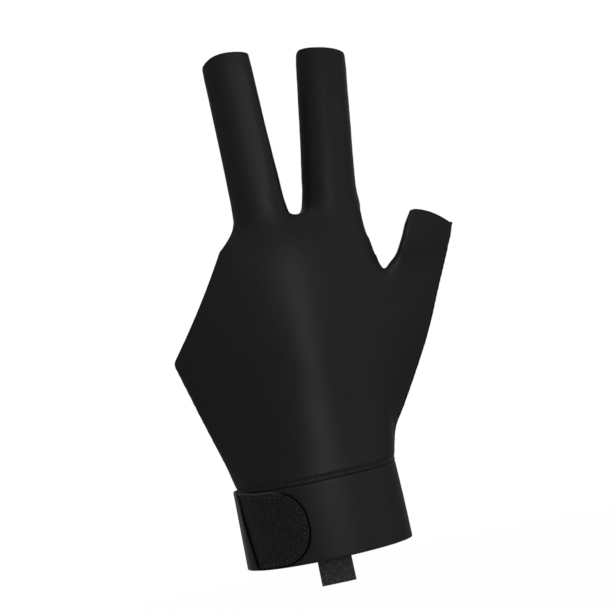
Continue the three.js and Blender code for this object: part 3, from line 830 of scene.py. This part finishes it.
def past_roll(along, z):
    """0 on the strap's roll at the little finger's side and 1 beyond the slanting line where it ends."""
    return ramp(along, np.interp(z, [0, CUFF_HEIGHT], ROLL_REACH) - ROLL_EDGE, ROLL_EDGE)


def strap_section(along, low, high):
    """One upright section of the strap, and its painted light: painted shade past the lit edge of its roll
    and near black beyond it, down to its low rim, with a painted highlight along its upper rim.
    """
    z, out = plate_ring(low, high, GAP, STRAP_FACE, STRAP_EDGE_RADIUS, steps=34)
    beyond = past_roll(along, z)
    roll = ROLL_HEIGHT * ramp(along, ROLL_START, -ROLL_START)
    # Painted shade: darker past the lit edge of the roll, and near black beyond the roll, in the groove and
    # under the patch.
    roll_shade_start = np.interp(z, [0, CUFF_HEIGHT], PAINTED_ROLL_SHADE["start"])
    roll_shade = PAINTED_ROLL_SHADE["darkness"] * ramp(along, roll_shade_start, PAINTED_ROLL_SHADE["span"])
    groove = np.maximum(1 - roll_shade - beyond, GROOVE_SHADE)
    # Painted highlight: the upper rim is kept light, as an edge lit from above.
    upper = ramp(z, UPPER_RIM_HIGHLIGHT["lowest"] * CUFF_HEIGHT, UPPER_RIM_HIGHLIGHT["rise"])
    upper *= ramp(along, UPPER_RIM_HIGHLIGHT["end"], -UPPER_RIM_HIGHLIGHT["fade"])
    rim = UPPER_RIM_HIGHLIGHT["light"] * upper * ramp(z, high - UPPER_RIM_HIGHLIGHT["height"], UPPER_RIM_HIGHLIGHT["blur"])
    return (along, z, out + roll * (1 - beyond)), np.maximum(groove, rim)


def strap():
    """The strap, with a share of painted light and shade for each of its points."""
    bottom = strap_low[2]
    top = strap_high[2]
    straight_end = STRAP_REACH - TAB_ROUND_LENGTH
    marks = (-STRAP_ROOT_REACH, ROLL_REACH[1] - GROOVE_MARGIN, ROLL_REACH[0] + GROOVE_MARGIN, straight_end)
    alongs = np.concatenate([np.arange(*stretch) for stretch in zip(marks, marks[1:], STRAP_STEPS)])
    climbs = strap_climb(alongs) * smooth_step((alongs + STRAP_ROOT_REACH) / STRAP_ROOT_REACH)
    heights = [(along, bottom, top + climb) for along, climb in zip(alongs, climbs)]
    middle = (bottom + top) / 2
    power = 2 / TAB_SQUARENESS
    for angle in np.linspace(*ROUND_END_ANGLES, 22):
        along = straight_end + (TAB_ROUND_LENGTH - ROUND_END_TRIM) * np.sin(angle) ** power
        half = (top - bottom) / 2 * np.cos(angle) ** power
        heights.append((along, middle - half, middle + half))
    sections = [strap_section(*height) for height in heights]
    shade = np.concatenate([shade for _, shade in sections])
    return band([section for section, _ in sections]), {"shade": shade}


# Patch: a D-shaped plate on the strap's end


def patch_outline():
    """The patch's border round the cuff and in height, as evenly spaced points."""
    bottom = strap_low[2] + PATCH_LOW_MARGIN
    top = strap_high[2] - PATCH_MARGIN
    middle = (bottom + top) / 2
    length = TAB_ROUND_LENGTH - PATCH_END_MARGIN
    straight_end = STRAP_REACH - TAB_ROUND_LENGTH
    angle = np.linspace(-math.pi / 2, math.pi / 2, 120)
    power = 2 / TAB_SQUARENESS
    round_end = np.stack([
        straight_end + length * signed_power(np.cos(angle), power),
        middle + (top - bottom) / 2 * signed_power(np.sin(angle), power),
    ], axis=1)
    start = [PATCH_START_LOW + PATCH_CORNER, bottom]
    high_start = [PATCH_START_HIGH + PATCH_CORNER, top]
    high_end = [PATCH_START_HIGH + PATCH_LEAN, top - PATCH_CORNER]
    low_end = [PATCH_START_LOW - PATCH_LEAN, bottom + PATCH_CORNER]
    closed = np.array([
        start,
        *round_end,
        high_start,
        *quadratic(high_start, [PATCH_START_HIGH, top], high_end, 6),
        *quadratic(low_end, [PATCH_START_LOW, bottom], start, 6),
    ])
    travelled = travel(closed)
    at = np.linspace(0, travelled[-1], 220, endpoint=False)
    along, z = [np.interp(at, travelled, closed[:, k]) for k in range(2)]
    z += strap_climb(along) * np.clip((z - middle) / (top - middle), 0, 1)
    return np.stack([along, z], axis=1)


def inset_outline(outline, inset):
    """The outline moved in by a distance, towards its centre."""
    centre = outline.mean(axis=0)
    tangent = np.roll(outline, -1, axis=0) - np.roll(outline, 1, axis=0)
    normal = unit(np.stack([tangent[:, 1], -tangent[:, 0]], axis=1))
    spoke = outline - centre
    return outline - inset * spoke / (normal * spoke).sum(axis=1, keepdims=True)


def patch():
    outline = patch_outline()
    centre = outline.mean(axis=0)
    base = GAP + STRAP_WALL + GAP
    rings = [inset_outline(outline, inset) for inset in PATCH_INSETS]
    shrink = np.linspace(1, 0, 26)[1:-1]
    rings += [centre + (rings[-1] - centre) * share for share in shrink]
    depths = PATCH_INSETS + [PATCH_INSETS[-1] + (1 - share) * PATCH_MIDDLE_DEPTH for share in shrink]
    points = [on_cuff(*outline.T, base)]
    for ring, depth in zip(rings, depths):
        rounded = np.sqrt(max(0, 1 - max(0, 1 - depth / PATCH_ROUNDING) ** 2))
        height = PATCH_WALL * (PATCH_RIM_SHARE + (1 - PATCH_RIM_SHARE) * rounded)
        height -= STITCH_DIP["depth"] * bump_curve(depth - PATCH_STITCH_INSET, STITCH_DIP["width"])
        height += PATCH_CROWN["rise"] * ramp(depth, PATCH_CROWN["start"], PATCH_CROWN["span"])
        nap = PATCH_NAP["height"] * unevenness(*ring.T, PATCH_NAP["size"], 0)
        dents = PATCH_DENTS["height"] * unevenness(*ring.T, PATCH_DENTS["size"], 5)
        out = base + height + (nap + dents) * smooth_step(depth / PATCH_NAP_START)
        points.append(on_cuff(*ring.T, out))
    rows = len(points)
    points.append(on_cuff(*centre, base + PATCH_WALL + PATCH_CROWN["rise"])[None])
    points.append(on_cuff(*centre, base)[None])
    size = len(outline)
    faces = strip_faces(rows, size, closed=True)
    last = (rows - 1) * size
    top_index = rows * size
    for i in range(size):
        beside = (i + 1) % size
        faces.append([last + i, last + beside, top_index])
        faces.append([beside, i, top_index + 1])
    return np.concatenate(points), faces


# Thread: rows of separate stitches, with the pitch, the stitched share of it and the thread's radius
PATCH_THREAD = (2.1, 0.64, 0.32)
ROOT_THREAD = (2.2, 0.7, 0.2)
WRIST_THREAD = (2.3, 0.72, 0.2)
THREAD_SINK = 0.6
THREAD_ARCH = 1.3
THREAD_END = 0.45
ROOT_BOX = {"start": 1.8, "end": 9, "margin": 2}
PATCH_THREAD_DEPTH = 0.12
PATCH_THREAD_START = 0.4
ROOT_THREAD_LIFT = 0.02
RAY_START = 12


def stitch(start, end, up, radius, sides=8, rings=7):
    """One stitch: a short thread that arches from one needle hole to the next."""
    side = unit(np.cross(end - start, up))
    t = np.linspace(0, 1, rings)
    arch = np.sin(math.pi * t)
    centre = start + np.outer(t, end - start) + np.outer((arch - THREAD_SINK) * radius * THREAD_ARCH, up)
    thick = radius * (THREAD_END + (1 - THREAD_END) * np.sqrt(arch))
    angle = np.linspace(0, 2 * math.pi, sides, endpoint=False)
    around = np.outer(np.cos(angle), side) + np.outer(np.sin(angle), up)
    points = (centre[:, None] + thick[:, None, None] * around[None]).reshape(-1, 3)
    return points, tube_faces(rings, sides)


def stitch_row(path, ups, pitch, share, radius):
    """Stitches at an even pitch along a path of points with their outward directions."""
    travelled = travel(path)

    def read(values, at):
        return np.array([np.interp(at, travelled, column) for column in values.T])

    parts = []
    for k in range(int(travelled[-1] / pitch)):
        begin = (k + (1 - share) / 2) * pitch
        end = begin + share * pitch
        parts.append(stitch(read(path, begin), read(path, end), unit(read(ups, begin)), radius))
    return join_parts(parts)


def outward(points):
    """Directions straight out of the cuff at points that follow it."""
    half = np.array([CUFF_WIDTH / 2, CUFF_DEPTH / 2, 1])
    normal = points / half**2
    normal[:, 2] = 0
    return unit(normal)


def patch_stitches():
    line = inset_outline(patch_outline(), PATCH_STITCH_INSET)
    start = np.interp(line[:, 1], [strap_low[2], strap_high[2]], [PATCH_START_LOW, PATCH_START_HIGH])
    line = line[line[:, 0] > start + PATCH_STITCH_INSET + PATCH_THREAD_START]
    path = on_cuff(*line.T, GAP + STRAP_WALL + GAP + PATCH_WALL - PATCH_THREAD_DEPTH)
    return stitch_row(path, outward(path), *PATCH_THREAD)


def root_stitches():
    """The strap's sewn root on the palm side: a box of stitches."""
    left, right = ROOT_BOX["start"] - STRAP_ROOT_REACH, ROOT_BOX["end"] - STRAP_ROOT_REACH
    low, high = strap_low[2] + ROOT_BOX["margin"], strap_high[2] - ROOT_BOX["margin"]
    corners = np.array([(left, low), (right, low), (right, high), (left, high), (left, low)])
    share = np.linspace(0, 1, 24)[:, None]
    line = np.concatenate([a * (1 - share) + b * share for a, b in zip(corners, corners[1:])])
    path = on_cuff(*line.T, STRAP_FACE + ROOT_THREAD_LIFT)
    return stitch_row(path, outward(path), *ROOT_THREAD)


def wrist_stitches(shell):
    """The upper line of the twin stitch that joins the hand to the cuff, laid on the shell."""
    mesh = shell.data
    tree = BVHTree.FromPolygons([v.co for v in mesh.vertices], [p.vertices for p in mesh.polygons])
    path = []
    ups = []
    for along in np.linspace(0, CUFF_ROUND, 320):
        target = on_cuff(along, CUFF_HEIGHT, 0)
        target[2] = TWIN_LINE["height"]
        direction = outward(target[None])[0]
        origin = target + RAY_START * direction
        hit, normal, _, _ = tree.ray_cast(Vector(origin * MM), Vector(-direction))
        if hit:
            path.append(np.array(hit) / MM)
            ups.append(np.array(normal))
    return stitch_row(np.array(path), np.array(ups), *WRIST_THREAD)


# Pull tab: a short length of coarse woven tape

TAB_EXTRA_WIDTH = 1
TAB_WEAVE = {"pitch": 0.95, "height": 0.06, "sharpness": 0.7}
TAB_LUMPS = {"size": 1.1, "height": 0.09}
TAB_ROUNDING = 0.6
TAB_RIM_SHARE = 0.45
TAB_SINK = 0.1
# Painted shadow of the cuff on the tab's upper part.
TAB_SHADE_ABOVE = 0.6


def pull_tab():
    """The tape, with a share of painted light for each of its points: darker up inside the cuff, a painted
    shadow of the cuff.
    """
    width = tab_high[0] - tab_low[0] + TAB_EXTRA_WIDTH
    centre = CUFF_ROUND / 4 + (tab_high[0] + tab_low[0]) / 2
    alongs = np.linspace(-width / 2, width / 2, 72)
    heights = np.linspace(tab_low[2], tab_high[2], 100)
    s, z = np.meshgrid(alongs, heights)
    weave = np.sin(math.pi * s / TAB_WEAVE["pitch"]) * np.sin(math.pi * z / TAB_WEAVE["pitch"])
    checks = TAB_WEAVE["height"] * signed_power(weave, TAB_WEAVE["sharpness"])
    side = width / 2 - np.abs(s)
    end = np.minimum(z - tab_low[2], tab_high[2] - z)
    rim = np.clip(1 - np.minimum(side, end) / TAB_ROUNDING, 0, 1)
    thin = TAB_RIM_SHARE * TAB_WALL * (1 - np.sqrt(np.maximum(0, 1 - rim**2)))
    fuzz = unevenness(s.ravel(), z.ravel(), TAB_LUMPS["size"], 9)
    inner = TAB_LUMPS["height"] * fuzz.reshape(s.shape) - CUFF_WALL - GAP - TAB_WALL
    front = on_cuff(centre + s, z, inner + TAB_WALL - thin + checks - TAB_SINK)
    back = on_cuff(centre + s, z, inner + thin - checks)
    points, faces = thick_sheet(front.reshape(-1, 3), back.reshape(-1, 3), strip_faces(*s.shape))
    return (points, faces), {"shade": np.interp(points[:, 2], [tab_low[2], 0], [1, TAB_SHADE_ABOVE])}


# Materials

NEARLY_BLACK = 0.002
EVEN_SHINE = 0.5


def grey(value):
    return (value, value, value * 1.02, 1)


class Cloth:
    """A principled material: even values on the shader's own sockets, with patterns linked over them."""

    def __init__(self, name, colour, roughness, specular=EVEN_SHINE, sheen=0.0, sheen_roughness=0.4):
        self.material = bpy.data.materials.new(name)
        self.material.use_nodes = True
        self.tree = self.material.node_tree
        self.shader = self.tree.nodes["Principled BSDF"].inputs
        even = {"Base Color": colour, "Roughness": roughness, "Specular IOR Level": specular}
        self.feed(self.shader, {**even, "Sheen Weight": sheen, "Sheen Roughness": sheen_roughness})

    def feed(self, sockets, values):
        """Sets or links a node's inputs."""
        for name, value in values.items():
            if isinstance(value, bpy.types.NodeSocket):
                self.tree.links.new(value, sockets[name])
            else:
                sockets[name].default_value = value

    def node(self, kind, values):
        node = self.tree.nodes.new(kind)
        self.feed(node.inputs, values)
        return node

    def texture(self, kind, output, values, stretch=(1, 1, 1)):
        """A pattern over the piece's own coordinates, scaled for each axis."""
        source = self.tree.nodes.new("ShaderNodeTexCoord")
        mapping = self.node("ShaderNodeMapping", {"Vector": source.outputs["Object"], "Scale": stretch})
        return self.node(kind, {"Vector": mapping.outputs["Vector"], **values}).outputs[output]

    def grain(self, scale, detail, stretch=(1, 1, 1)):
        return self.texture("ShaderNodeTexNoise", "Fac", {"Scale": scale, "Detail": detail}, stretch)

    def attribute(self, name):
        node = self.tree.nodes.new("ShaderNodeAttribute")
        node.attribute_name = name
        return node.outputs["Fac"]

    def spread(self, value, low, high, to_low=0, form="LINEAR"):
        """The value stretched from low and high to to_low and 1."""
        ranges = {"From Min": low, "From Max": high, "To Min": to_low, "To Max": 1}
        node = self.node("ShaderNodeMapRange", {"Value": value, **ranges})
        node.interpolation_type = form
        return node.outputs["Result"]

    def combine(self, operation, a, b):
        node = self.tree.nodes.new("ShaderNodeMath")
        node.operation = operation
        self.feed(node.inputs, {0: a, 1: b})
        return node.outputs["Value"]

    def mix_colour(self, factor, a, b):
        """Gives the shader a colour between two others."""
        mix = self.tree.nodes.new("ShaderNodeMix")
        mix.data_type = "RGBA"
        self.feed(mix.inputs, {"A": a, "B": b, "Factor": factor})
        self.feed(self.shader, {"Base Color": mix.outputs["Result"]})

    def darken(self, shade):
        """Fades the colour to near black as the shade falls to 0."""
        self.mix_colour(shade, grey(NEARLY_BLACK), self.shader["Base Color"].links[0].from_socket)

    def dull(self, shade):
        """Fades the shine as the shade falls to 0."""
        self.feed(self.shader, {"Specular IOR Level": self.combine("MULTIPLY", shade, EVEN_SHINE)})

    def bump(self, height, distance, strength):
        """Adds a layer of bump over what the shader already has."""
        values = {"Distance": distance * MM, "Strength": strength, "Height": height}
        for before in self.shader["Normal"].links:
            values["Normal"] = before.from_socket
        layer = self.node("ShaderNodeBump", values)
        self.feed(self.shader, {"Normal": layer.outputs["Normal"]})


def knit(name, dark, light):
    """Thin stretch knit: fine wales and cells, with slight changes of tone."""
    cloth = Cloth(name, grey((dark + light) / 2), roughness=0.47, sheen=0.05)
    cloud = cloth.grain(scale=60, detail=4, stretch=(1, 1, 0.5))
    fine = cloth.combine("MULTIPLY", cloth.grain(scale=1500, detail=2), 0.35)
    total = cloth.combine("ADD", fine, cloud)
    cloth.mix_colour(cloth.spread(total, low=0.35, high=1.0), grey(dark), grey(light))
    cell_values = {"Scale": 1700, "Randomness": 0.25}
    cells = cloth.texture("ShaderNodeTexVoronoi", "Distance", cell_values, stretch=(1, 1, 0.8))
    cloth.bump(cells, distance=0.05, strength=0.5)
    return cloth


def hand_cloth():
    """The knit of the hand, with painted shade down in its seams and a painted hem shadow along the cut rims,
    where its shine fades too.
    """
    cloth = knit("stretch_knit", dark=0.0125, light=0.0165)
    seam = cloth.spread(cloth.attribute("seam"), low=0.0, high=0.45, to_low=0.25, form="SMOOTHSTEP")
    rim = cloth.spread(cloth.attribute("rim"), low=0.15, high=0.75, to_low=0.12, form="SMOOTHSTEP")
    # Painted shade of the seams and rims, on both the colour and the shine.
    shade = cloth.combine("MULTIPLY", seam, rim)
    cloth.darken(shade)
    cloth.dull(shade)
    return cloth


def elastic():
    """Woven elastic: smooth ribs along the strap, with painted shade that makes it black where the cloth lies
    deep and a painted highlight along its upper rim; its shine fades with the painted shade.
    """
    cloth = Cloth("elastic", grey(0.08), roughness=0.45, sheen=0.3)
    ribs = cloth.texture("ShaderNodeTexWave", "Fac", {"Scale": 420, "Distortion": 0.6})
    ribs.node.bands_direction = "Z"
    grain = cloth.grain(scale=900, detail=3)
    cloth.mix_colour(cloth.combine("MULTIPLY", ribs, grain), grey(0.05), grey(0.22))
    # The strap's painted light and shade, as a share of its colour and its shine.
    shade = cloth.attribute("shade")
    cloth.darken(shade)
    cloth.dull(shade)
    cloth.bump(ribs, distance=0.09, strength=0.6)
    cloth.bump(grain, distance=0.06, strength=0.5)
    return cloth


def suede():
    """Napped patch: matte, mottled and faintly speckled."""
    cloth = Cloth("suede", grey(0.012), roughness=0.85, specular=0.25, sheen=0.12, sheen_roughness=0.6)
    mottle = cloth.grain(scale=1200, detail=4)
    fleck = cloth.grain(scale=2300, detail=2)
    total = cloth.combine("MULTIPLY", mottle, fleck)
    cloth.mix_colour(cloth.spread(total, low=0.17, high=0.42), grey(0.0095), grey(0.045))
    cloth.bump(fleck, distance=0.14, strength=0.8)
    cloth.bump(mottle, distance=0.25, strength=0.5)
    return cloth


def webbing():
    """Coarse woven tape with a dry, grainy face."""
    cloth = Cloth("webbing", grey(0.03), roughness=0.7, specular=0.45, sheen=0.15, sheen_roughness=0.5)
    grain = cloth.grain(scale=2400, detail=4)
    patchy = cloth.grain(scale=1100, detail=2)
    total = cloth.combine("MULTIPLY", grain, patchy)
    cloth.mix_colour(cloth.spread(total, low=0.14, high=0.4), grey(0.017), grey(0.13))
    # Painted shadow of the cuff, darker towards the tape's top.
    cloth.darken(cloth.attribute("shade"))
    cloth.bump(grain, distance=0.2, strength=0.9)
    return cloth


def thread(name, dark, light):
    """Twisted thread."""
    cloth = Cloth(name, grey(light), roughness=0.5, sheen=0.1)
    twist = cloth.grain(scale=2400, detail=2)
    cloth.mix_colour(twist, grey(dark), grey(light))
    cloth.bump(twist, distance=0.06, strength=0.7)
    return cloth


# The glove


def build_glove():
    pale_thread = thread("pale_thread", dark=0.03, light=0.075)
    dark_thread = thread("dark_thread", dark=0.006, light=0.014)
    hand_form, hand_marks = hand_shell()
    panels = ("back_panel", "palm_panel")
    shell = add_piece("hand_shell", hand_form, hand_cloth(), panels, hand_marks)
    cuff_cloth = knit("cuff_knit", dark=0.0135, light=0.0185)
    add_piece("cuff_band", cuff(), cuff_cloth, ["cuff"])
    strap_form, strap_marks = strap()
    add_piece("wrap_strap", strap_form, elastic(), ["closure_strap"], strap_marks)
    add_piece("suede_patch", patch(), suede(), ["tab_patch"])
    tab_form, tab_marks = pull_tab()
    add_piece("woven_tab", tab_form, webbing(), ["pull_tab"], tab_marks)
    add_piece("patch_stitches", patch_stitches(), pale_thread)
    add_piece("root_stitches", root_stitches(), dark_thread)
    add_piece("wrist_stitches", wrist_stitches(shell), dark_thread)


# Camera, light and surroundings

CAMERA_DISTANCE = 800
CAMERA_AIM = (10.4, 100.9)
CAMERA_TILT = 12
PIXEL = 0.409
FRAME_PIXELS = 612
SENSOR = 36

# Soft panels round the glove: azimuth to the right of the camera and elevation in degrees, distance and size
# in metres, power in watts
LIGHT_COLUMNS = ("name", "azimuth", "elevation", "distance", "width", "height", "power")
LIGHTS = (
    ("key", 10, 7, 1.2, 0.17, 0.6, 1.5),
    ("right", 58, 5, 1.3, 0.6, 1.2, 0.72),
    ("right_side", 76, 5, 1.3, 0.5, 1.2, 0.2),
    ("top", 10, 70, 1.3, 0.9, 0.9, 0.74),
    ("back_key", 186, 2, 1.2, 0.3, 0.9, 1),
    ("back_fill", 140, 20, 1.4, 0.8, 0.8, 0.8),
)
WORLD_STRENGTH = 0.155
FLOOR_DROP = 0.42
FLOOR_TONE = 0.7
FLOOR_GLOW = 0.88
DOME_RADIUS = 3.2


def build_camera():
    """Looks square at the back of the hand, tilted as the glove leans in the picture."""
    tilt = math.radians(CAMERA_TILT)
    right = Vector((math.cos(tilt), 0, -math.sin(tilt)))
    up = Vector((math.sin(tilt), 0, math.cos(tilt)))
    away = Vector((0, -1, 0))
    data = bpy.data.cameras.new("camera")
    data.sensor_width = SENSOR
    data.lens = SENSOR * CAMERA_DISTANCE / (PIXEL * FRAME_PIXELS)
    camera = bpy.data.objects.new("camera", data)
    place = Vector((CAMERA_AIM[0], -CAMERA_DISTANCE, CAMERA_AIM[1])) * MM
    camera.matrix_world = Matrix.Translation(place) @ Matrix((right, up, away)).transposed().to_4x4()
    bpy.context.scene.collection.objects.link(camera)
    bpy.context.scene.camera = camera


def area_light(name, azimuth, elevation, distance, width, height, power):
    """A soft panel that faces the glove, seen at an azimuth to the right of the camera."""
    turn = math.radians(azimuth)
    lift = math.radians(elevation)
    aim = Vector((CAMERA_AIM[0], 0, CAMERA_AIM[1])) * MM
    towards = Vector((math.sin(turn) * math.cos(lift), -math.cos(turn) * math.cos(lift), math.sin(lift)))
    data = bpy.data.lights.new(name, "AREA")
    data.shape = "RECTANGLE"
    data.size = width
    data.size_y = height
    data.energy = power
    light = bpy.data.objects.new(name, data)
    light.location = aim + distance * towards
    light.rotation_euler = towards.to_track_quat("Z", "Y").to_euler()
    light.visible_camera = False
    bpy.context.scene.collection.objects.link(light)


def build_lights():
    for light in rows_of(LIGHT_COLUMNS, LIGHTS):
        area_light(**light)
    world = bpy.data.worlds.new("surroundings")
    world.use_nodes = True
    background = world.node_tree.nodes["Background"].inputs
    background["Color"].default_value = (1, 1, 1, 1)
    background["Strength"].default_value = WORLD_STRENGTH
    bpy.context.scene.world = world
    bpy.context.scene.view_settings.view_transform = "Standard"


def glow_material(name, tone, strength):
    glow = Cloth(name, (tone, tone, tone, 1), roughness=0.9, specular=0.0)
    glow.feed(glow.shader, {"Emission Color": (1, 1, 1, 1), "Emission Strength": strength})
    return glow.material


def build_surroundings():
    """A pale floor and a pale dome that don't light the glove."""
    bpy.ops.mesh.primitive_circle_add(vertices=128, radius=DOME_RADIUS, fill_type="NGON")
    floor = bpy.context.object
    floor.name = "floor"
    floor.location = (0, 0, -FLOOR_DROP)
    bpy.ops.mesh.primitive_uv_sphere_add(segments=96, ring_count=48, radius=DOME_RADIUS)
    dome = bpy.context.object
    dome.name = "backdrop"
    floor.data.materials.append(glow_material("pale_floor", FLOOR_TONE, FLOOR_GLOW))
    dome.data.materials.append(glow_material("pale_backdrop", 0, 1))
    for obj in (floor, dome):
        obj.visible_diffuse = False
        obj.visible_glossy = False
        obj.visible_shadow = False


build_camera()
build_glove()
build_lights()
build_surroundings()
